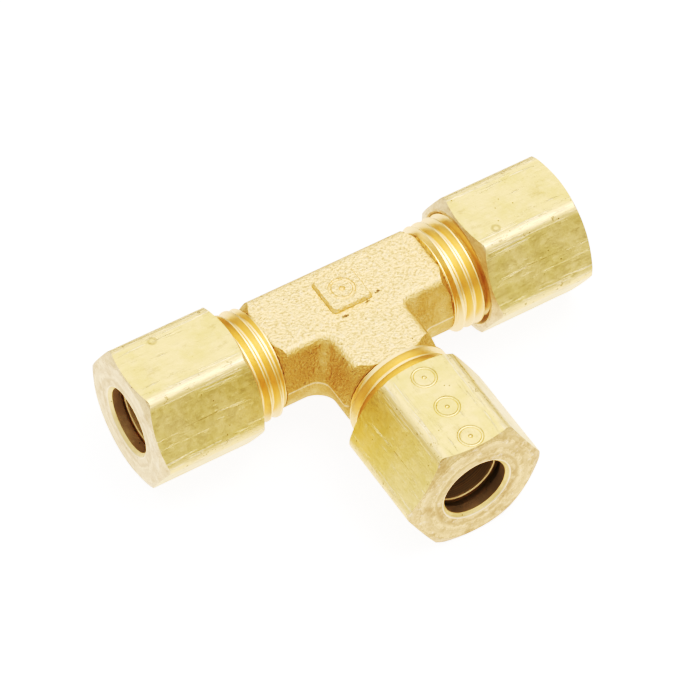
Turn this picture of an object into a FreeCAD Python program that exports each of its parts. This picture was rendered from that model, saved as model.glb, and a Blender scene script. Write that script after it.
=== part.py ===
import FreeCAD, Part
import math
import os

# Brass compression union tee for three 1/4 in tubes: a forged body with three threaded ports,
# and on each port a hexagonal nut with its loose sleeve inside.
#
# Frame: the origin is where the run's axis and the branch's axis cross. +X lies along the run,
# the branch points along -Y, and +Z is up. The fitting rests on the flats of its three nuts.
# Each port is drawn on the +X axis, where s is the distance outward from the origin and r the
# distance from the axis, and is then turned about Z into its place. Lengths are millimetres.

# Tube and waterway
TUBE_RADIUS = 3.175
SOCKET_CLEARANCE = 0.055
SOCKET_RADIUS = TUBE_RADIUS + SOCKET_CLEARANCE
SOCKET_STOP = 9.2
WATERWAY_RADIUS = 2.4
STOP_CHAMFER = 0.3

# Thread: 7/16-24, right-handed, the same on all three ports
PITCH = 25.4 / 24
THREAD_CREST_RADIUS = 5.50
THREAD_ROOT_RADIUS = 4.85
CREST_WIDTH = PITCH / 8
FLANK_SLOPE = math.tan(math.radians(30))
FLANK_CLEARANCE = 0.069
NUT_THREAD_MAJOR_RADIUS = 5.62
NUT_THREAD_MINOR_RADIUS = 5.03
POINTS_PER_TURN = 30
RUN_OUT_LENGTH = 0.6
RUN_OUT_LIFT = 0.75
GROOVE_OVERCUT = 0.05
GROOVE_WASTE = 0.35

# Forged body: flat and drafted above the parting band, a round barrel below it
RUN_HALF_WIDTH = 4.9
BRANCH_HALF_WIDTH = 5.25
FORGING_TOP = 4.4
DRAFT_INSET = 1.15
PARTING_HALF_HEIGHT = 0.14
INNER_CORNER_RADIUS = 1.45
INNER_CORNER_TOP_RADIUS = 0.6
TOP_EDGE_RADIUS = 1.05
BARREL_SWEEP = math.radians(66)
BARREL_SECTIONS = 8
ARM_LENGTH = 9.25

# Turned end of each arm
STUB_ROOT = 7.2
STUB_ROOT_RADIUS = 4.05
BOSS_START = 9.05
BOSS_RADIUS = 4.38
NECK_START = 9.2
NECK_END = 9.3
NECK_RADIUS = 4.93
THREAD_BLANK_START = 9.6
STUB_END = 16.0
STUB_CHAMFER = 0.3
SHOULDER_OUTER = (8.45, 5.5)
SHOULDER_INNER = (9.1, 4.85)
FACING_RADIUS = 9.0
FACING_END = 12.0
SEAT_HALF_ANGLE = math.radians(20)
SEAT_MOUTH_RADIUS = 4.35

# Raised pad on top of the body, with a plain ring and dot sunk into it
PAD_CENTRE = (-0.2, 0.1)
PAD_SIZE = 3.9
PAD_HEIGHT = 0.35
PAD_FOOT_DEPTH = 0.3
PAD_SIDE_SLOPE = 0.22
PAD_CORNER_RADIUS = 0.35
PAD_RING_RADIUS = 1.15
PAD_RING_STROKE = 0.2
PAD_DOT_RADIUS = 0.35

# Nut
NUT_ACROSS_FLATS = 12.7
NUT_LENGTH = 11.1
NUT_CORNER_RADIUS = 1.05
NUT_ENVELOPE_RADIUS = 7.25
NUT_RIM_RADIUS = 0.5
OUTER_FACE_RADIUS = 6.15
OUTER_CHAMFER_ANGLE = math.radians(24)
INNER_FACE_RADIUS = 6.1
INNER_CHAMFER_ANGLE = math.radians(28)
NUT_HOLE_RADIUS = 3.27
NUT_HOLE_CHAMFER = 0.35
NUT_LIP = 1.25
NUT_SHOULDER_HALF_ANGLE = math.radians(60)
NUT_CAVITY_RADIUS = 4.3
NUT_CAVITY_DEPTH = 4.15
NUT_THREAD_DEPTH = 5.05
NUT_ENTRY_RADIUS = 5.8
NUT_ENTRY_DEPTH = 0.55

# Small sunk rings in a row along the branch nut's top flat
STAMP_FIRST = 13.9
STAMP_SPACING = 3.93
STAMP_COUNT = 3
STAMP_RING_RADIUS = 1.1
STAMP_STROKE = 0.17
STAMP_DOT_RADIUS = 0.25
MARK_DEPTH_SHARE = 0.45

# Sleeve
SLEEVE_LENGTH = 6.35
SLEEVE_RADIUS = 4.1
SLEEVE_BORE_RADIUS = 3.22
SLEEVE_TAPER_LENGTH = 0.95
SLEEVE_BORE_CHAMFER = 0.12

# One entry per port: turn about Z in degrees, distance from the origin to the nut's outer face,
# gap between the nut's lip and its sleeve, and where the thread's crest crosses the port's +Y side.
PORTS = {
    "left": {"turn": 180.0, "nut_face": 23.40, "sleeve_gap": 0.30, "crest": 10.03},
    "right": {"turn": 0.0, "nut_face": 23.61, "sleeve_gap": 0.40, "crest": 9.42},
    "branch": {"turn": -90.0, "nut_face": 23.15, "sleeve_gap": 0.85, "crest": 9.58},
}

ORIGIN = FreeCAD.Vector(0, 0, 0)
ALONG = FreeCAD.Vector(1, 0, 0)
UP = FreeCAD.Vector(0, 0, 1)

# How far a tool goes on past the face it opens, and how close two lengths count as equal
OVERRUN = 0.5
TOLERANCE = 1e-3


def turned(profile):
    """Solid of revolution about the port's axis of the closed outline through these (s, r) corners."""
    corners = [FreeCAD.Vector(s, r, 0) for s, r in profile]
    outline = Part.makePolygon(corners + corners[:1])
    return Part.Face(outline).revolve(ORIGIN, ALONG, 360)


def in_place(shape, port):
    """Copy of a shape drawn on the +X axis, turned about Z to its port."""
    copy = shape.copy()
    copy.rotate(ORIGIN, UP, port["turn"])
    return copy


def smooth_step(x):
    """Runs from 0 to 1 with level ends as x goes from 0 to 1."""
    x = min(max(x, 0.0), 1.0)
    return x * x * (3 - 2 * x)


def thread_cutter(section, root_radius, helix_start, first_s, last_s, lift):
    """Solid swept along a right-handed helix, to cut a thread's groove.

    section holds (s, r) corners measured from the groove's root. The helix passes through
    s = helix_start on the +Y side, runs from first_s to last_s, and lift(s) raises or lowers
    the section there, so that the groove runs out smoothly.
    """
    first_turn = (first_s - helix_start) / PITCH
    turns = (last_s - first_s) / PITCH
    count = round(turns * POINTS_PER_TURN)

    def point(turn, section_s=0.0, section_r=0.0):
        s = helix_start + PITCH * turn
        r = root_radius + lift(s) + section_r
        angle = 2 * math.pi * turn
        return FreeCAD.Vector(s + section_s, r * math.cos(angle), r * math.sin(angle))

    path = Part.BSplineCurve()
    path.interpolate([point(first_turn + turns * i / count) for i in range(count + 1)])
    spans = math.ceil(turns)
    step = (path.LastParameter - path.FirstParameter) / spans
    starts = [path.FirstParameter + step * i for i in range(spans)]
    spine = Part.Wire([path.toShape(start, start + step) for start in starts])

    corners = [point(first_turn, s, r) for s, r in section]
    sweep = Part.BRepOffsetAPI.MakePipeShell(spine)
    sweep.setBiNormalMode(ALONG)
    sweep.add(Part.makePolygon(corners + corners[:1]), False, False)
    sweep.build()
    sweep.makeSolid()
    return sweep.shape()


def groove_section(root_half_width, depth):
    """V groove with a flat root; a positive depth opens outward, a negative one inward.

    Past the groove's mouth the section goes on with parallel sides.
    """
    end = depth + math.copysign(GROOVE_WASTE, depth)
    mouth_half_width = root_half_width + abs(depth) * FLANK_SLOPE
    return [
        (-root_half_width, 0.0),
        (-mouth_half_width, depth),
        (-mouth_half_width, end),
        (mouth_half_width, end),
        (mouth_half_width, depth),
        (root_half_width, 0.0),
    ]


def body_thread_cutter(port):
    """Groove between the crests of a port's outside thread; it runs out towards the body."""
    depth = THREAD_CREST_RADIUS - THREAD_ROOT_RADIUS
    root_half_width = (PITCH - CREST_WIDTH) / 2 - depth * FLANK_SLOPE
    section = groove_section(root_half_width, depth + GROOVE_OVERCUT)

    def lift(s):
        return RUN_OUT_LIFT * smooth_step((THREAD_BLANK_START - s) / RUN_OUT_LENGTH)

    first_s = THREAD_BLANK_START - RUN_OUT_LENGTH
    last_s = STUB_END + PITCH
    return thread_cutter(
        section, THREAD_ROOT_RADIUS, port["crest"] + PITCH / 2, first_s, last_s, lift
    )


def nut_thread_cutter(port):
    """Groove of a nut's inside thread, which takes the body's crests with clearance all round."""
    depth = NUT_THREAD_MAJOR_RADIUS - NUT_THREAD_MINOR_RADIUS
    past_crest = NUT_THREAD_MAJOR_RADIUS - THREAD_CREST_RADIUS
    root_half_width = CREST_WIDTH / 2 - past_crest * FLANK_SLOPE + FLANK_CLEARANCE
    section = groove_section(root_half_width, -depth - GROOVE_OVERCUT)
    thread_end = port["nut_face"] - NUT_THREAD_DEPTH

    def lift(s):
        return -RUN_OUT_LIFT * smooth_step((s - thread_end) / RUN_OUT_LENGTH + 1)

    first_s = port["nut_face"] - NUT_LENGTH - PITCH
    return thread_cutter(
        section, NUT_THREAD_MAJOR_RADIUS, port["crest"], first_s, thread_end, lift
    )


def tee_outline(z, inset, corner_radius):
    """Closed outline of the forged tee at one height, with its two inner corners rounded."""
    run = RUN_HALF_WIDTH - inset
    branch = BRANCH_HALF_WIDTH - inset

    def at(x, y):
        return FreeCAD.Vector(x, y, z)

    def corner(side):
        """Arc from the run's front side into the branch's side; side is 1 right, -1 left."""
        centre_x = side * (branch + corner_radius)
        centre_y = -run - corner_radius
        slant = corner_radius * math.cos(math.radians(45))
        start = at(centre_x, -run)
        middle = at(centre_x - side * slant, centre_y + slant)
        end = at(side * branch, centre_y)
        return Part.Arc(start, middle, end).toShape()

    def line(start, end):
        return Part.makeLine(at(*start), at(*end))

    tangent_x = branch + corner_radius
    tangent_y = -run - corner_radius
    edges = [
        line((-ARM_LENGTH, run), (ARM_LENGTH, run)),
        line((ARM_LENGTH, run), (ARM_LENGTH, -run)),
        line((ARM_LENGTH, -run), (tangent_x, -run)),
        corner(1),
        line((branch, tangent_y), (branch, -ARM_LENGTH)),
        line((branch, -ARM_LENGTH), (-branch, -ARM_LENGTH)),
        line((-branch, -ARM_LENGTH), (-branch, tangent_y)),
        corner(-1),
        line((-tangent_x, -run), (-ARM_LENGTH, -run)),
        line((-ARM_LENGTH, -run), (-ARM_LENGTH, run)),
    ]
    return Part.Wire(edges)


def upper_forging():
    """Forged tee above the parting band: drafted sides up to a flat top with rounded edges."""
    parting = tee_outline(PARTING_HALF_HEIGHT, 0.0, INNER_CORNER_RADIUS)
    top = tee_outline(FORGING_TOP, DRAFT_INSET, INNER_CORNER_TOP_RADIUS)
    drafted = Part.makeLoft([parting, top], True, True)

    def is_long_top_edge(edge):
        box = edge.BoundBox
        on_top = box.ZMin > FORGING_TOP - TOLERANCE
        at_arm_end = (
            box.XMin > ARM_LENGTH - TOLERANCE
            or box.XMax < -ARM_LENGTH + TOLERANCE
            or box.YMax < -ARM_LENGTH + TOLERANCE
        )
        return on_top and not at_arm_end

    edges = [edge for edge in drafted.Edges if is_long_top_edge(edge)]
    return drafted.makeFillet(TOP_EDGE_RADIUS, edges)


def lower_forging():
    """Forged tee below the parting band: a round barrel that ends in a narrow flat."""
    sections = []
    for i in range(BARREL_SECTIONS + 1):
        angle = BARREL_SWEEP * i / BARREL_SECTIONS
        inset = RUN_HALF_WIDTH * (1 - math.cos(angle))
        z = -PARTING_HALF_HEIGHT - RUN_HALF_WIDTH * math.sin(angle)
        sections.append(tee_outline(z, inset, INNER_CORNER_RADIUS + inset))
    return Part.makeLoft(sections, True, False)


def forging():
    """Whole forged tee: its upper and lower parts and the narrow upright band at the parting line."""
    outline = tee_outline(-PARTING_HALF_HEIGHT, 0.0, INNER_CORNER_RADIUS)
    band = Part.Face(outline).extrude(UP * (2 * PARTING_HALF_HEIGHT))
    return band.fuse([upper_forging(), lower_forging()]).removeSplitter()


def sunk_ring(centre, radius, stroke):
    """Ring-shaped tool whose lower part sinks a round-bottomed groove into a level surface."""
    lift = UP * (stroke * MARK_DEPTH_SHARE)
    return Part.makeTorus(radius, stroke, centre + lift, UP)


def sunk_dot(centre, radius):
    """Ball whose lower part sinks a shallow dimple into a level surface."""
    return Part.makeSphere(radius, centre + UP * (radius * MARK_DEPTH_SHARE))


def pad():
    """Raised square pad with sloped sides on the top of the body, before its mark is sunk."""

    def square(z, size, corner_radius):
        x, y = PAD_CENTRE
        block = Part.makeBox(size, size, size, FreeCAD.Vector(x - size / 2, y - size / 2, z))
        boxes = [(edge, edge.BoundBox) for edge in block.Edges]
        upright = [edge for edge, box in boxes if box.ZLength > box.XLength + box.YLength]
        rounded = block.makeFillet(corner_radius, upright)
        return min(rounded.Faces, key=lambda face: face.CenterOfMass.z).OuterWire

    foot = square(
        FORGING_TOP - PAD_FOOT_DEPTH,
        PAD_SIZE + 2 * PAD_SIDE_SLOPE * (1 + PAD_FOOT_DEPTH / PAD_HEIGHT),
        PAD_CORNER_RADIUS + PAD_SIDE_SLOPE,
    )
    top = square(FORGING_TOP + PAD_HEIGHT, PAD_SIZE, PAD_CORNER_RADIUS)
    return Part.makeLoft([foot, top], True, True)


def shoulder_cutter():
    """Ring of waste that faces off the end of an arm and leaves a sloped shoulder."""
    outer_s, outer_r = SHOULDER_OUTER
    inner_s, inner_r = SHOULDER_INNER
    return turned(
        [
            (inner_s, inner_r),
            (outer_s - (FACING_RADIUS - outer_r), FACING_RADIUS),
            (FACING_END, FACING_RADIUS),
            (FACING_END, inner_r),
        ]
    )


def stub(port):
    """Turned and threaded end of one arm, still without its bore."""
    blank = turned(
        [
            (STUB_ROOT, 0.0),
            (STUB_ROOT, STUB_ROOT_RADIUS),
            (BOSS_START, BOSS_RADIUS),
            (NECK_START, NECK_RADIUS),
            (NECK_END, NECK_RADIUS),
            (THREAD_BLANK_START, THREAD_CREST_RADIUS),
            (STUB_END - STUB_CHAMFER, THREAD_CREST_RADIUS),
            (STUB_END, THREAD_CREST_RADIUS - STUB_CHAMFER),
            (STUB_END, 0.0),
        ]
    )
    return blank.cut(body_thread_cutter(port))


def port_bore():
    """Waterway, tube socket and tapered sleeve seat of one port, as the solid to take away."""
    seat_depth = (SEAT_MOUTH_RADIUS - SOCKET_RADIUS) / math.tan(SEAT_HALF_ANGLE)
    return turned(
        [
            (0.0, 0.0),
            (0.0, WATERWAY_RADIUS),
            (SOCKET_STOP - STOP_CHAMFER, WATERWAY_RADIUS),
            (SOCKET_STOP, WATERWAY_RADIUS + STOP_CHAMFER),
            (SOCKET_STOP, SOCKET_RADIUS),
            (STUB_END - seat_depth, SOCKET_RADIUS),
            (STUB_END + OVERRUN, SEAT_MOUTH_RADIUS + OVERRUN * math.tan(SEAT_HALF_ANGLE)),
            (STUB_END + OVERRUN, 0.0),
        ]
    )


def tee_body():
    """Forged tee with its pad and mark, three turned and threaded ends, and the bores."""
    centre = FreeCAD.Vector(*PAD_CENTRE, FORGING_TOP + PAD_HEIGHT)
    body = forging().fuse(pad())
    body = body.cut(sunk_ring(centre, PAD_RING_RADIUS, PAD_RING_STROKE))
    body = body.cut(sunk_dot(centre, PAD_DOT_RADIUS))
    body = body.cut([in_place(shoulder_cutter(), port) for port in PORTS.values()])
    body = body.fuse([in_place(stub(port), port) for port in PORTS.values()])
    return body.cut([in_place(port_bore(), port) for port in PORTS.values()])


def hexagon_blank(face):
    """Hexagonal bar with a flat up and a flat down, rounded corners and chamfered, rounded ends."""
    corner_distance = NUT_ACROSS_FLATS / math.sqrt(3)
    back = face - NUT_LENGTH
    angles = [math.radians(60 * i) for i in range(6)]
    corners = [
        FreeCAD.Vector(back, corner_distance * math.cos(a), corner_distance * math.sin(a))
        for a in angles
    ]
    bar = Part.Face(Part.makePolygon(corners + corners[:1])).extrude(ALONG * NUT_LENGTH)
    long_edges = [edge for edge in bar.Edges if edge.BoundBox.XLength > NUT_LENGTH / 2]
    bar = bar.makeFillet(NUT_CORNER_RADIUS, long_edges)
    outer_slope = (NUT_ENVELOPE_RADIUS - OUTER_FACE_RADIUS) * math.tan(OUTER_CHAMFER_ANGLE)
    inner_slope = (NUT_ENVELOPE_RADIUS - INNER_FACE_RADIUS) * math.tan(INNER_CHAMFER_ANGLE)
    envelope = turned(
        [
            (back, 0.0),
            (back, INNER_FACE_RADIUS),
            (back + inner_slope, NUT_ENVELOPE_RADIUS),
            (face - outer_slope, NUT_ENVELOPE_RADIUS),
            (face, OUTER_FACE_RADIUS),
            (face, 0.0),
        ]
    )
    circles = [edge for edge in envelope.Edges if isinstance(edge.Curve, Part.Circle)]
    rims = [edge for edge in circles if edge.Curve.Radius > NUT_ENVELOPE_RADIUS - TOLERANCE]
    return bar.common(envelope.makeFillet(NUT_RIM_RADIUS, rims))


def nut_bore(face):
    """Tube hole, sleeve shoulder, cavity and thread bore of a nut, as the solid to take away."""
    back = face - NUT_LENGTH
    shoulder_start = face - NUT_LIP
    shoulder_length = (NUT_CAVITY_RADIUS - NUT_HOLE_RADIUS) / math.tan(NUT_SHOULDER_HALF_ANGLE)
    cavity_end = face - NUT_CAVITY_DEPTH
    step_length = NUT_THREAD_MINOR_RADIUS - NUT_CAVITY_RADIUS
    entry_rise = NUT_ENTRY_RADIUS - NUT_THREAD_MINOR_RADIUS
    entry_overrun = OVERRUN * entry_rise / NUT_ENTRY_DEPTH
    return turned(
        [
            (back - OVERRUN, 0.0),
            (back - OVERRUN, NUT_ENTRY_RADIUS + entry_overrun),
            (back + NUT_ENTRY_DEPTH, NUT_THREAD_MINOR_RADIUS),
            (cavity_end - step_length / 2, NUT_THREAD_MINOR_RADIUS),
            (cavity_end + step_length / 2, NUT_CAVITY_RADIUS),
            (shoulder_start - shoulder_length, NUT_CAVITY_RADIUS),
            (shoulder_start, NUT_HOLE_RADIUS),
            (face - NUT_HOLE_CHAMFER, NUT_HOLE_RADIUS),
            (face + OVERRUN, NUT_HOLE_RADIUS + NUT_HOLE_CHAMFER + OVERRUN),
            (face + OVERRUN, 0.0),
        ]
    )


def nut(port, stamped):
    """Compression nut of one port; the branch's nut carries a row of sunk rings on its top flat."""
    face = port["nut_face"]
    body = hexagon_blank(face).cut(nut_bore(face)).cut(nut_thread_cutter(port))
    if not stamped:
        return body
    for i in range(STAMP_COUNT):
        centre = FreeCAD.Vector(STAMP_FIRST + STAMP_SPACING * i, 0, NUT_ACROSS_FLATS / 2)
        body = body.cut(sunk_ring(centre, STAMP_RING_RADIUS, STAMP_STROKE))
        body = body.cut(sunk_dot(centre, STAMP_DOT_RADIUS))
    return body


def sleeve(port):
    """Sleeve with both ends tapered to the seat's angle, lying between the nut's lip and the seat."""
    outer_end = port["nut_face"] - NUT_LIP - port["sleeve_gap"]
    inner_end = outer_end - SLEEVE_LENGTH
    end_radius = SLEEVE_RADIUS - SLEEVE_TAPER_LENGTH * math.tan(SEAT_HALF_ANGLE)
    profile = [
        (inner_end, SLEEVE_BORE_RADIUS + SLEEVE_BORE_CHAMFER),
        (inner_end, end_radius),
        (inner_end + SLEEVE_TAPER_LENGTH, SLEEVE_RADIUS),
        (outer_end - SLEEVE_TAPER_LENGTH, SLEEVE_RADIUS),
        (outer_end, end_radius),
        (outer_end, SLEEVE_BORE_RADIUS + SLEEVE_BORE_CHAMFER),
        (outer_end - SLEEVE_BORE_CHAMFER, SLEEVE_BORE_RADIUS),
        (inner_end + SLEEVE_BORE_CHAMFER, SLEEVE_BORE_RADIUS),
    ]
    return turned(profile)


def write(name, shape):
    """Check one piece and write it to its own STEP file."""
    solids = shape.Solids
    if len(solids) != 1 or not shape.isValid():
        raise ValueError(f"{name}: {len(solids)} solids, valid {shape.isValid()}")
    solids[0].exportStep(f"parts/{name}.step")
    box = solids[0].BoundBox
    print(
        f"{name}: {solids[0].Volume:.1f} mm3, x {box.XMin:.2f} to {box.XMax:.2f},"
        f" y {box.YMin:.2f} to {box.YMax:.2f}, z {box.ZMin:.2f} to {box.ZMax:.2f}"
    )


os.makedirs("parts", exist_ok=True)
write("tee_body", tee_body())
for name, port in PORTS.items():
    write(f"{name}_nut", in_place(nut(port, name == "branch"), port))
    write(f"{name}_sleeve", in_place(sleeve(port), port))
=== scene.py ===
import math

import bpy
from mathutils import Matrix, Vector


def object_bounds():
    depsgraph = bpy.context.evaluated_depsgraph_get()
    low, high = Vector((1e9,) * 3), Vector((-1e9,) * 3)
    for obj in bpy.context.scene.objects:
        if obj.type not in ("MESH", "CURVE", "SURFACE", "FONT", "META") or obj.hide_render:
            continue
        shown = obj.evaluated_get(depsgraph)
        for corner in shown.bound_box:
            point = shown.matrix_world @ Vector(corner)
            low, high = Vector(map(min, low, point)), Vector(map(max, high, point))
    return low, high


# Looks of a brass compression union tee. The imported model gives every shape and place; this script
# adds the brass, the floor, the studio light and the camera. Lengths in the materials are in
# millimetres, and all others are in metres unless a comment says otherwise.

MM = 0.001

# Camera: its direction and distance from the point it aims at, and its lens and sensor width in mm
CAMERA_AZIMUTH = math.radians(-32.12)
CAMERA_ELEVATION = math.radians(50.93)
CAMERA_ROLL = math.radians(0.81)
CAMERA_DISTANCE = 0.42975
CAMERA_AIM = Vector((-0.00061, -0.00213, -0.00173))
LENS = 236.3
SENSOR = 36.0

# The camera's response, from scene light (as a share of RESPONSE_WHITE) to the picture's light:
# a dark toe, a steep middle and a long shoulder. The combined curve acts on all colours alike.
RESPONSE_WHITE = 1.5
RESPONSE = (
    (0.08, 0.035),
    (0.16, 0.15),
    (0.22, 0.27),
    (0.30, 0.42),
    (0.43, 0.60),
    (0.64, 0.79),
    (0.85, 0.92),
)
COMBINED_CURVE = 3

# Floor: half of its side, its grey, its roughness and the light it gives off
FLOOR_HALF = 0.22
FLOOR_GREY = 0.2
FLOOR_ROUGHNESS = 0.9
FLOOR_LIGHT = 1.25

# Surround: the heights between which its light rises (0 is the horizon, 1 is overhead), and the
# light below and above them
SKY_HEIGHTS = (0.05, 0.75)
SKY_LIGHT = (0.25, 1.90)

# Key light: its direction and distance from the object, its side and its power in watts
KEY_DIRECTION = (0.35, -0.15, 1.0)
KEY_DISTANCE = 0.6
KEY_SIDE = 0.35
KEY_POWER = 1.2

# Blender's mix node: the positions of its two inputs and of its output, for numbers and for colours
NUMBER_INPUTS = (2, 3)
NUMBER_OUTPUT = 0
COLOUR_INPUTS = (6, 7)
COLOUR_OUTPUT = 2

# Which way each port points
PORT_AXES = {"left": (-1, 0, 0), "right": (1, 0, 0), "branch": (0, -1, 0)}

# Where one surface of a part gives way to the next: each pair is where the change begins and ends,
# out from the port's axis
NUT_CORNER = (6.90, 7.12)
NEAR_CORNER = (6.72, 6.86)
NUT_CAVITY = (5.9, 5.7)
NUT_HOLE = (3.75, 3.55)
HOLE_EDGE = (3.66, 3.62)
TEE_SOCKET = (4.3, 4.0)
SLEEVE_BORE = (3.5, 3.3)

# The same out along the port's axis, for the tee's turned ends and the burr before and after their
# start
TURNED_END = (9.05, 9.15)
BURR_START = (8.80, 9.05)
BURR_END = (9.25, 9.15)

# The same upwards, for the tee's raised pad and the nuts' top flats
PAD_TOP = (4.44, 4.50)
NUT_TOP = (6.0, 6.3)

# Parts of the normal: along the port's axis for the nuts' end faces, and upwards for the tee's top
# and for the rounding round it, where painted shade darkens the tee's sides and rounded edges
FACING_OUT = (0.35, 0.75)
FACING_UP = (0.55, 0.95)
LEANING = (0.25, 0.55)
NOT_LEVEL = (0.97, 0.80)

# The tee's parting line, a painted highlight along the trimmed flash: how far the grain moves it,
# and how far from mid-height it begins and is full
PARTING_WAVER = 0.25
PARTING_LINE = (0.30, 0.16)

# Bright rim of the nuts' holes: its radius, how far off it begins and is full, and its strength
RIM_RADIUS = 3.62
RIM = (0.10, 0.02, 0.8)

# Small cracks in the tee's top face: places, share of the distance that counts along the run, how
# much noise is added to the distance, where a crack begins and is full, and its strength
CRACKS = ((2.65, -1.67), (1.0, -2.23), (-1.46, -2.7))
CRACK_STRETCH = 0.45
CRACK_RAGGED = 0.9
CRACK_SIZE = (0.62, 0.50)
CRACK_STRENGTH = 0.75

# Round stains on the nuts' top flats: places, radius, how far off it the line begins and is full,
# and its strength
STAINS = {"left": (-19.04, 2.56), "right": (15.23, -2.21)}
STAIN_RADIUS = 0.35
STAIN_LINE = (0.22, 0.04)
STAIN_STRENGTH = 0.7

# Noises, as cells per mm, detail and roughness: the nuts', the tee's, then the sleeves'
PATINA = (0.30, 3.0, 0.6)
MOTTLE = (1.3, 4.0, 0.65)
SPECKLE = (5.0, 2.0, 0.6)
STREAKS = (5.0, 3.0, 0.7)
SCRATCHES = (2.4, 5.0, 0.85)
GROOVES = (1.9, 4.0, 0.8)
CORNER_LINES = (7.0, 2.0, 0.6)
SMUDGES = (0.55, 6.0, 0.75)
NICKS = (1.7, 4.0, 0.7)
BLOTCHES = (0.7, 5.0, 0.7)
FACE_RINGS = (6.0, 4.0, 0.7)
WHORLS = (2.0, 2.0, 0.6)
GRAIN = (3.8, 2.0, 0.55)
FINE_GRAIN = (9.0, 2.0, 0.6)
FORGED_PATCHES = (0.35, 4.0, 0.65)
FORGED_FLAWS = (1.2, 5.0, 0.7)
CRACK_EDGE = (4.0, 3.0, 0.7)
TURNED_RINGS = (9.0, 4.0, 0.7)
SLEEVE_STAIN = (1.5, 3.0, 0.6)

# Share of the distance along a nut that counts in its drawn and smeared noises, so that their marks
# run along the nut, and how far the blotches pull the whorls out of round
DRAWN = 0.04
SMEARED = 0.5
WHORL_PULL = 2.0

# Pits at scattered points: cells per mm, and the radii in cells where a pit begins and is full
NUT_PIT_CELLS = 0.75
NUT_PIT = (0.075, 0.035)
FORGED_PIT_CELLS = 0.8
FORGED_PIT = (0.07, 0.03)

# Values of a noise where its mark begins and where it is full
PATINA_RANGE = (0.34, 0.66)
SCRATCH_RANGE = (0.60, 0.66)
GROOVE_RANGE = (0.36, 0.33)
GROOVED_PATCHES = (0.40, 0.55)
CORNER_LINE_RANGE = (0.54, 0.62)
SMUDGE_RANGE = (0.56, 0.74)
NICK_RANGE = (0.60, 0.66)
WHORL_RANGE = (0.34, 0.62)
SATIN_RANGE = (0.3, 0.7)
WORN_GRAIN = (0.35, 0.55)
LOW_GRAIN = (0.50, 0.34)
HIGH_GRAIN = (0.54, 0.68)
BURR_GRAIN = (0.40, 0.56)
SLEEVE_STAIN_RANGE = (0.4, 0.7)
BORE_RING_RANGE = (0.40, 0.60)

# The same, and the mark's greatest strength
PALE_CLOUDS = (0.46, 0.70, 0.20)
SPECKS = (0.68, 0.78, 0.25)
FACE_BLOTCHES = (0.42, 0.72, 0.75)
FACE_CLOUDS = (0.56, 0.72, 0.5)
FORGED_CLOUDS = (0.40, 0.68, 0.35)
FORGED_STAINS = (0.66, 0.74, 0.5)
THREAD_DIRT = (0.6, 0.75, 0.4)

# Greatest strength of the other marks; a pair is for the tee's sides and for its top
BRIGHT_STRENGTH = 0.45
SMUDGE_STRENGTH = 0.30
GROOVE_STRENGTH = 0.4
NICK_STRENGTH = 0.55
PIT_STRENGTH = 0.7
WHORL_STRENGTH = 0.6
HOLE_EDGE_STRENGTH = 0.6
# Strength of the painted shade on the tee's rounded edges and fillets
ROUNDING_SHADE_STRENGTH = 0.5
# Strength of the painted highlight on the parting line
PARTING_HIGHLIGHT_STRENGTH = 0.6
HOLLOW_STRENGTH = (0.30, 0.50)
PEAK_STRENGTH = (0.12, 0.45)
BURR_STRENGTH = 0.8

# Roughness, from 0 for a mirror to 1 for matte; a pair is the range over a patchy surface
SATIN = (0.32, 0.44)
CORNER_ROUGHNESS = 0.50
FACE_ROUGHNESS = 0.55
CAVITY_ROUGHNESS = 0.45
HOLE_ROUGHNESS = 0.50
FORGED_ROUGHNESS = (0.55, 0.68)
TURNED_ROUGHNESS = 0.40
SOCKET_ROUGHNESS = 0.65
SLEEVE_ROUGHNESS = (0.38, 0.55)
BORE_ROUGHNESS = 0.58

# Depth of the relief
STREAK_DEPTH = 0.012
FACE_RING_DEPTH = 0.030
MOTTLE_DEPTH = 0.035
PIT_DEPTH = 0.012
GRAIN_DEPTH = 0.19
FINE_GRAIN_DEPTH = 0.035
TURNED_RING_DEPTH = 0.008

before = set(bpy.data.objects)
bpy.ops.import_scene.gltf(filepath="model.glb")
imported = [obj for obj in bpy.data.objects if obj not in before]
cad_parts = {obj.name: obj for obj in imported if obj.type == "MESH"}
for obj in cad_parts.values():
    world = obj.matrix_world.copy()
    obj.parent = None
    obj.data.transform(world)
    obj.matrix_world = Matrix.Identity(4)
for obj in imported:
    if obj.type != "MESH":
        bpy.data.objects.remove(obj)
cad_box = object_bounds()


def rgb(red, green, blue):
    return (red, green, blue, 1.0)


BAR_BRASS = rgb(0.88, 0.68, 0.335)
OLIVE_BRASS = rgb(0.80, 0.62, 0.275)
PALE_BRASS = rgb(0.94, 0.77, 0.46)
CREAM_BRASS = rgb(0.93, 0.80, 0.60)
CORNER_GOLD = rgb(0.88, 0.69, 0.37)
FORGED_TOP = rgb(0.99, 0.76, 0.43)
# Colour of the forging's sides, darker than its top as painted shade
FORGED_SIDE_SHADE = rgb(0.64, 0.43, 0.18)
# Dark brown of the grain's hollows and the burr, also painted shade on the tee's rounded edges
FORGED_HOLLOW_AND_SHADE = rgb(0.62, 0.42, 0.19)
THREAD_GOLD = rgb(0.93, 0.64, 0.33)
BORE_BROWN = rgb(0.66, 0.54, 0.36)
DIRT = rgb(0.20, 0.11, 0.05)
WHITE = rgb(1.0, 1.0, 1.0)

# Lighter and darker colour of each nut's turned faces
FACE_COLOURS = {
    "left": (rgb(0.88, 0.73, 0.49), rgb(0.60, 0.44, 0.26)),
    "right": (rgb(0.88, 0.73, 0.49), rgb(0.60, 0.44, 0.26)),
    "branch": (rgb(0.83, 0.64, 0.37), rgb(0.44, 0.29, 0.15)),
}


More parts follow.
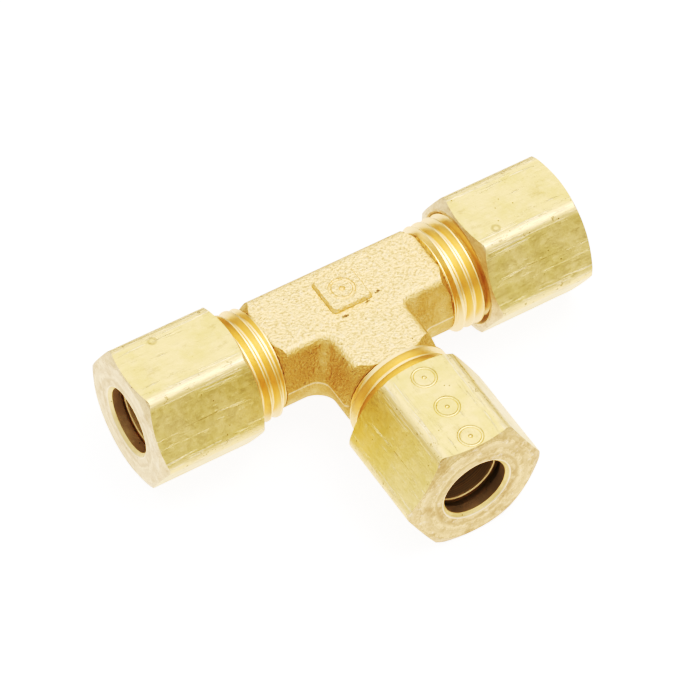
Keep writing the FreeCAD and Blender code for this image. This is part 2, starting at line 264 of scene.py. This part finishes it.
class Shader:
    """One material's node tree, with short calls that add a node and link its inputs."""

    def __init__(self, name):
        self.material = bpy.data.materials.new(name)
        self.material.use_nodes = True
        self.tree = self.material.node_tree
        self.tree.nodes.clear()
        self.coordinates = self.node("ShaderNodeTexCoord")

    def feed(self, socket, value):
        if isinstance(value, bpy.types.NodeSocket):
            self.tree.links.new(value, socket)
        else:
            socket.default_value = value

    def node(self, kind, inputs=None, **settings):
        made = self.tree.nodes.new(kind)
        for name, value in settings.items():
            setattr(made, name, value)
        for name, value in (inputs or {}).items():
            self.feed(made.inputs[name], value)
        return made

    def math(self, operation, *values):
        made = self.tree.nodes.new("ShaderNodeMath")
        made.operation = operation
        for socket, value in zip(made.inputs, values):
            self.feed(socket, value)
        return made.outputs[0]

    def times(self, *values):
        product = values[0]
        for value in values[1:]:
            product = self.math("MULTIPLY", product, value)
        return product

    def apart(self, value, other):
        """Size of the difference of two numbers."""
        return self.math("ABSOLUTE", self.math("SUBTRACT", value, other))

    def step(self, value, low, high):
        """0 below low, 1 above high, and a smooth rise between; reversed if low is above high."""
        if low > high:
            return self.math("SUBTRACT", 1.0, self.step(value, high, low))
        inputs = {"Value": value, "From Min": low, "From Max": high}
        made = self.node("ShaderNodeMapRange", inputs, interpolation_type="SMOOTHSTEP")
        return made.outputs["Result"]

    def tone(self, value, low, high, strength):
        """A step that rises to a strength instead of to 1."""
        return self.times(self.step(value, low, high), strength)

    def mix(self, share, low, high):
        """Colour between low and high."""
        made = self.node("ShaderNodeMix", data_type="RGBA")
        self.feed(made.inputs["Factor"], share)
        for position, colour in zip(COLOUR_INPUTS, (low, high)):
            self.feed(made.inputs[position], colour)
        return made.outputs[COLOUR_OUTPUT]

    def blend(self, share, low, high):
        """Number between low and high."""
        made = self.node("ShaderNodeMix", data_type="FLOAT")
        self.feed(made.inputs["Factor"], share)
        for position, number in zip(NUMBER_INPUTS, (low, high)):
            self.feed(made.inputs[position], number)
        return made.outputs[NUMBER_OUTPUT]

    def vector(self, x, y, z):
        return self.node("ShaderNodeCombineXYZ", {"X": x, "Y": y, "Z": z}).outputs[0]

    def split(self, vector):
        return self.node("ShaderNodeSeparateXYZ", {"Vector": vector}).outputs

    def noise(self, vector, scale, detail, roughness):
        inputs = {"Vector": vector, "Scale": scale, "Detail": detail, "Roughness": roughness}
        return self.node("ShaderNodeTexNoise", inputs).outputs["Fac"]

    def spots(self, vector, scale):
        """Distance to the nearest of a set of scattered points, in cells."""
        inputs = {"Vector": vector, "Scale": scale}
        return self.node("ShaderNodeTexVoronoi", inputs).outputs["Distance"]

    def place(self):
        """The point on the object, in millimetres, as a vector."""
        scaled = self.node("ShaderNodeVectorMath", operation="SCALE")
        self.feed(scaled.inputs[0], self.coordinates.outputs["Object"])
        self.feed(scaled.inputs["Scale"], 1 / MM)
        return scaled.outputs[0]

    def length(self, *parts):
        squares = [self.math("MULTIPLY", part, part) for part in parts]
        total = squares[0]
        for square in squares[1:]:
            total = self.math("ADD", total, square)
        return self.math("SQRT", total)

    def bump(self, height, depth, under=None):
        """Normal of a surface whose relief is height times depth, in millimetres."""
        inputs = {"Height": height, "Distance": depth * MM, "Strength": 1.0}
        if under is not None:
            inputs["Normal"] = under
        return self.node("ShaderNodeBump", inputs).outputs["Normal"]

    def surface(self, inputs):
        """End the tree with one principled surface."""
        principled = self.node("ShaderNodeBsdfPrincipled", inputs)
        output = self.node("ShaderNodeOutputMaterial")
        self.tree.links.new(principled.outputs["BSDF"], output.inputs["Surface"])
        return self.material

    def metal(self, colour, roughness, normal):
        inputs = {"Base Color": colour, "Metallic": 1.0, "Roughness": roughness, "Normal": normal}
        return self.surface(inputs)


def port_frame(shader, port):
    """The point as seen from a port's axis.

    Returns its distance out along the axis, its two distances across it, the part of the normal
    along the axis, and the point itself.
    """
    point = shader.place()
    x, y, z = shader.split(point)
    normal_x, normal_y, _ = shader.split(shader.coordinates.outputs["Normal"])
    axis_x, axis_y, _ = PORT_AXES[port]
    if axis_x:
        return shader.times(x, float(axis_x)), y, z, shader.times(normal_x, float(axis_x)), point
    return shader.times(y, float(axis_y)), x, z, shader.times(normal_y, float(axis_y)), point


def nut_face(shader, port, point, radius, mottle):
    """Colour of a nut's turned end faces: blotchy whorls, and a bright rim round the hole."""
    blotch = shader.noise(point, *BLOTCHES)
    swirl = shader.math("ADD", radius, shader.times(blotch, WHORL_PULL))
    whorls = shader.noise(shader.vector(swirl, 0.0, 0.0), *WHORLS)
    light_face, dark_face = FACE_COLOURS[port]
    light_share = shader.blend(WHORL_STRENGTH, 1.0, shader.step(whorls, *WHORL_RANGE))
    face = shader.mix(light_share, dark_face, light_face)
    face = shader.mix(shader.tone(blotch, *FACE_BLOTCHES), face, dark_face)
    face = shader.mix(shader.tone(mottle, *FACE_CLOUDS), face, CREAM_BRASS)
    face = shader.mix(shader.tone(radius, *HOLE_EDGE, HOLE_EDGE_STRENGTH), face, BAR_BRASS)
    off_rim = shader.apart(radius, RIM_RADIUS)
    return shader.mix(shader.tone(off_rim, *RIM), face, CREAM_BRASS)


def ring_stain(shader, port, point, mottle):
    """Strength of the broken round stain on a nut's top flat."""
    x, y, z = shader.split(point)
    stain_x, stain_y = STAINS[port]
    off_x = shader.math("SUBTRACT", x, stain_x)
    off_y = shader.math("SUBTRACT", y, stain_y)
    off_ring = shader.apart(shader.length(off_x, off_y), STAIN_RADIUS)
    stain = shader.times(shader.step(off_ring, *STAIN_LINE), shader.step(z, *NUT_TOP), mottle)
    return shader.times(stain, STAIN_STRENGTH)


def nut_brass(port):
    """Hexagonal bar with satin flats: patina, scratches and pits, and turned matte end faces."""
    shader = Shader(f"nut_brass_{port}")
    along, side, height, facing, point = port_frame(shader, port)
    radius = shader.length(side, height)
    end = shader.step(shader.math("ABSOLUTE", facing), *FACING_OUT)
    lengthwise = shader.math("SUBTRACT", 1.0, end)
    corner = shader.times(shader.step(radius, *NUT_CORNER), lengthwise)
    inside = shader.times(shader.step(radius, *NUT_CAVITY), lengthwise)
    hole = shader.times(shader.step(radius, *NUT_HOLE), lengthwise)

    patches = shader.noise(point, *PATINA)
    mottle = shader.noise(point, *MOTTLE)
    flat = shader.mix(shader.step(patches, *PATINA_RANGE), OLIVE_BRASS, BAR_BRASS)
    flat = shader.mix(shader.tone(mottle, *PALE_CLOUDS), flat, PALE_BRASS)
    flat = shader.mix(corner, flat, CORNER_GOLD)
    drawn = shader.vector(shader.times(along, DRAWN), side, height)
    scratches = shader.step(shader.noise(drawn, *SCRATCHES), *SCRATCH_RANGE)
    lines = shader.step(shader.noise(drawn, *CORNER_LINES), *CORNER_LINE_RANGE)
    lines = shader.times(lines, shader.step(radius, *NEAR_CORNER), lengthwise)
    bright = shader.math("MAXIMUM", scratches, lines)
    flat = shader.mix(shader.times(bright, BRIGHT_STRENGTH), flat, CREAM_BRASS)
    smeared = shader.vector(shader.times(along, SMEARED), side, height)
    smudges = shader.step(shader.noise(smeared, *SMUDGES), *SMUDGE_RANGE)
    flat = shader.mix(shader.times(smudges, SMUDGE_STRENGTH), flat, DIRT)
    grooves = shader.step(shader.noise(drawn, *GROOVES), *GROOVE_RANGE)
    grooves = shader.times(grooves, shader.step(mottle, *GROOVED_PATCHES), GROOVE_STRENGTH)
    flat = shader.mix(grooves, flat, DIRT)
    nicks = shader.step(shader.noise(point, *NICKS), *NICK_RANGE)
    flat = shader.mix(shader.times(nicks, corner, NICK_STRENGTH), flat, DIRT)

    colour = shader.mix(end, flat, nut_face(shader, port, point, radius, mottle))
    colour = shader.mix(shader.math("MAXIMUM", inside, hole), colour, BORE_BROWN)
    pits = shader.step(shader.spots(point, NUT_PIT_CELLS), *NUT_PIT)
    specks = shader.tone(shader.noise(point, *SPECKLE), *SPECKS)
    dark = shader.math("MAXIMUM", shader.times(pits, PIT_STRENGTH), specks)
    if port in STAINS:
        dark = shader.math("MAXIMUM", dark, ring_stain(shader, port, point, mottle))
    colour = shader.mix(dark, colour, DIRT)

    rough = shader.blend(shader.step(mottle, *SATIN_RANGE), *SATIN)
    rough = shader.blend(corner, rough, CORNER_ROUGHNESS)
    rough = shader.blend(end, rough, FACE_ROUGHNESS)
    rough = shader.blend(inside, rough, CAVITY_ROUGHNESS)
    rough = shader.blend(hole, rough, HOLE_ROUGHNESS)
    streaks = shader.math("ADD", shader.noise(drawn, *STREAKS), bright)
    rings = shader.noise(shader.vector(radius, along, 0.0), *FACE_RINGS)
    normal = shader.bump(shader.times(streaks, lengthwise), STREAK_DEPTH)
    normal = shader.bump(shader.times(rings, end), FACE_RING_DEPTH, normal)
    normal = shader.bump(mottle, MOTTLE_DEPTH, normal)
    normal = shader.bump(shader.math("SUBTRACT", 1.0, dark), PIT_DEPTH, normal)
    return shader.metal(colour, rough, normal)


def forged_flaws(shader, point, x, y, top):
    """Strength of the dark stains, pits and small cracks in the forging."""
    flaws = shader.tone(shader.noise(point, *FORGED_FLAWS), *FORGED_STAINS)
    pits = shader.step(shader.spots(point, FORGED_PIT_CELLS), *FORGED_PIT)
    flaws = shader.math("MAXIMUM", flaws, pits)
    ragged = shader.times(shader.noise(point, *CRACK_EDGE), CRACK_RAGGED)
    for crack_x, crack_y in CRACKS:
        off_x = shader.times(shader.math("SUBTRACT", x, crack_x), CRACK_STRETCH)
        off_y = shader.math("SUBTRACT", y, crack_y)
        away = shader.math("ADD", shader.length(off_x, off_y), ragged)
        crack = shader.times(shader.step(away, *CRACK_SIZE), top, CRACK_STRENGTH)
        flaws = shader.math("MAXIMUM", flaws, crack)
    return flaws


def forged_brass():
    """Blasted forging with turned and threaded ends, its sides darker than its top by painted shade.
    """
    shader = Shader("forged_brass_tee")
    point = shader.place()
    x, y, z = shader.split(point)
    _, _, up = shader.split(shader.coordinates.outputs["Normal"])
    out_run = shader.math("ABSOLUTE", x)
    out_branch = shader.times(y, -1.0)
    out = shader.math("MAXIMUM", out_run, out_branch)
    on_run = shader.math("GREATER_THAN", out_run, out_branch)
    radius = shader.blend(on_run, shader.length(x, z), shader.length(y, z))
    turned = shader.step(out, *TURNED_END)
    socket = shader.step(radius, *TEE_SOCKET)

    grain = shader.noise(point, *GRAIN)
    fine = shader.noise(point, *FINE_GRAIN)
    patches = shader.noise(point, *FORGED_PATCHES)
    top = shader.math("MAXIMUM", shader.step(up, *FACING_UP), shader.step(z, *PAD_TOP))
    # Painted shade: faces that do not look up take the darker side colour
    colour = shader.mix(top, FORGED_SIDE_SHADE, FORGED_TOP)
    # Painted shade: the rounded edges and fillets between top and sides are darkened, broken by the
    # grain
    leaning = shader.times(shader.step(up, *LEANING), shader.step(up, *NOT_LEVEL))
    rounding_shade = shader.times(leaning, shader.step(grain, *WORN_GRAIN), ROUNDING_SHADE_STRENGTH)
    colour = shader.mix(rounding_shade, colour, FORGED_HOLLOW_AND_SHADE)
    # Painted highlight: a bright ragged line along the parting line at mid-height
    waver = shader.times(grain, PARTING_WAVER)
    off_parting = shader.math("ADD", shader.math("ABSOLUTE", z), waver)
    parting_highlight = shader.step(off_parting, *PARTING_LINE)
    colour = shader.mix(shader.times(parting_highlight, PARTING_HIGHLIGHT_STRENGTH), colour, CREAM_BRASS)
    colour = shader.mix(shader.tone(patches, *FORGED_CLOUDS), colour, PALE_BRASS)
    hollows = shader.times(shader.step(grain, *LOW_GRAIN), shader.blend(top, *HOLLOW_STRENGTH))
    peaks = shader.times(shader.step(grain, *HIGH_GRAIN), shader.blend(top, *PEAK_STRENGTH))
    colour = shader.mix(hollows, colour, FORGED_HOLLOW_AND_SHADE)
    colour = shader.mix(peaks, colour, CREAM_BRASS)
    colour = shader.mix(forged_flaws(shader, point, x, y, top), colour, DIRT)

    rings = shader.noise(shader.vector(out, radius, 0.0), *TURNED_RINGS)
    gold = shader.mix(rings, THREAD_GOLD, PALE_BRASS)
    gold = shader.mix(shader.tone(fine, *THREAD_DIRT), gold, BORE_BROWN)
    colour = shader.mix(turned, colour, gold)
    burr = shader.times(shader.step(out, *BURR_START), shader.step(out, *BURR_END))
    burr = shader.times(burr, shader.step(grain, *BURR_GRAIN), BURR_STRENGTH)
    colour = shader.mix(burr, colour, FORGED_HOLLOW_AND_SHADE)
    colour = shader.mix(socket, colour, BORE_BROWN)

    forged = shader.math("SUBTRACT", 1.0, turned)
    rough = shader.blend(turned, shader.blend(grain, *FORGED_ROUGHNESS), TURNED_ROUGHNESS)
    rough = shader.blend(socket, rough, SOCKET_ROUGHNESS)
    normal = shader.bump(shader.times(grain, forged), GRAIN_DEPTH)
    normal = shader.bump(shader.times(fine, forged), FINE_GRAIN_DEPTH, normal)
    normal = shader.bump(shader.times(rings, turned), TURNED_RING_DEPTH, normal)
    return shader.metal(colour, rough, normal)


def sleeve_brass(port):
    """Turned sleeve with a duller, ringed bore."""
    shader = Shader(f"sleeve_brass_{port}")
    along, side, height, _, point = port_frame(shader, port)
    radius = shader.length(side, height)
    across = shader.math("ADD", along, radius)
    rings = shader.noise(shader.vector(across, 0.0, 0.0), *TURNED_RINGS)
    stain = shader.noise(point, *SLEEVE_STAIN)
    outer = shader.mix(shader.step(stain, *SLEEVE_STAIN_RANGE), BAR_BRASS, THREAD_GOLD)
    bored = shader.mix(shader.step(rings, *BORE_RING_RANGE), BORE_BROWN, PALE_BRASS)
    bore = shader.step(radius, *SLEEVE_BORE)
    colour = shader.mix(bore, outer, bored)
    rough = shader.blend(bore, shader.blend(stain, *SLEEVE_ROUGHNESS), BORE_ROUGHNESS)
    return shader.metal(colour, rough, shader.bump(rings, TURNED_RING_DEPTH))


def dress(node, material):
    """Give a CAD node its material."""
    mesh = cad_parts[node].data
    for i in range(len(mesh.materials)):
        mesh.materials[i] = material


def floor():
    """Plain white table under the resting flats, which gives off light."""
    level = cad_box[0].z
    half = FLOOR_HALF
    mesh = bpy.data.meshes.new("floor")
    corners = [(-half, -half, level), (half, -half, level), (half, half, level), (-half, half, level)]
    mesh.from_pydata(corners, [], [(0, 1, 2, 3)])
    made = bpy.data.objects.new("floor", mesh)
    bpy.context.scene.collection.objects.link(made)
    inputs = {
        "Base Color": rgb(FLOOR_GREY, FLOOR_GREY, FLOOR_GREY),
        "Roughness": FLOOR_ROUGHNESS,
        "Emission Color": WHITE,
        "Emission Strength": FLOOR_LIGHT,
    }
    mesh.materials.append(Shader("floor_white").surface(inputs))


def key_light():
    """Square soft light that faces the origin."""
    light = bpy.data.lights.new("key", "AREA")
    light.shape = "SQUARE"
    light.size = KEY_SIDE
    light.energy = KEY_POWER
    made = bpy.data.objects.new("key", light)
    made.location = Vector(KEY_DIRECTION).normalized() * KEY_DISTANCE
    made.rotation_mode = "QUATERNION"
    made.rotation_quaternion = made.location.to_track_quat("Z", "Y")
    bpy.context.scene.collection.objects.link(made)


def surround():
    """Pale light from all round, brightest overhead and dim at the horizon."""
    world = bpy.data.worlds.new("studio")
    bpy.context.scene.world = world
    world.use_nodes = True
    tree = world.node_tree
    tree.nodes.clear()
    where = tree.nodes.new("ShaderNodeTexCoord")
    split = tree.nodes.new("ShaderNodeSeparateXYZ")
    tree.links.new(where.outputs["Generated"], split.inputs["Vector"])
    rise = tree.nodes.new("ShaderNodeMapRange")
    rise.interpolation_type = "SMOOTHSTEP"
    low_height, high_height = SKY_HEIGHTS
    low_light, high_light = SKY_LIGHT
    rise.inputs["From Min"].default_value = low_height
    rise.inputs["From Max"].default_value = high_height
    rise.inputs["To Min"].default_value = low_light
    rise.inputs["To Max"].default_value = high_light
    tree.links.new(split.outputs["Z"], rise.inputs["Value"])
    background = tree.nodes.new("ShaderNodeBackground")
    tree.links.new(rise.outputs["Result"], background.inputs["Strength"])
    output = tree.nodes.new("ShaderNodeOutputWorld")
    tree.links.new(background.outputs["Background"], output.inputs["Surface"])


def camera():
    """Camera at the photograph's angle, above the front and to the left."""
    data = bpy.data.cameras.new("camera")
    data.sensor_width = SENSOR
    data.lens = LENS
    made = bpy.data.objects.new("camera", data)
    level = math.cos(CAMERA_ELEVATION)
    back = Vector((
        math.sin(CAMERA_AZIMUTH) * level,
        -math.cos(CAMERA_AZIMUTH) * level,
        math.sin(CAMERA_ELEVATION),
    ))
    made.location = CAMERA_AIM + back * CAMERA_DISTANCE
    made.rotation_mode = "QUATERNION"
    roll = Matrix.Rotation(CAMERA_ROLL, 4, back).to_quaternion()
    made.rotation_quaternion = roll @ (-back).to_track_quat("-Z", "Y")
    bpy.context.scene.collection.objects.link(made)
    bpy.context.scene.camera = made


def response():
    """Give the picture's tones the camera's response."""
    settings = bpy.context.scene.view_settings
    settings.view_transform = "Standard"
    settings.use_curve_mapping = True
    mapping = settings.curve_mapping
    mapping.white_level = (RESPONSE_WHITE,) * 3
    curve = mapping.curves[COMBINED_CURVE]
    for light, picture in RESPONSE:
        curve.points.new(light, picture)
    mapping.update()


dress("tee_body", forged_brass())
for port in PORT_AXES:
    dress(f"{port}_nut", nut_brass(port))
    dress(f"{port}_sleeve", sleeve_brass(port))
floor()
surround()
key_light()
camera()
response()
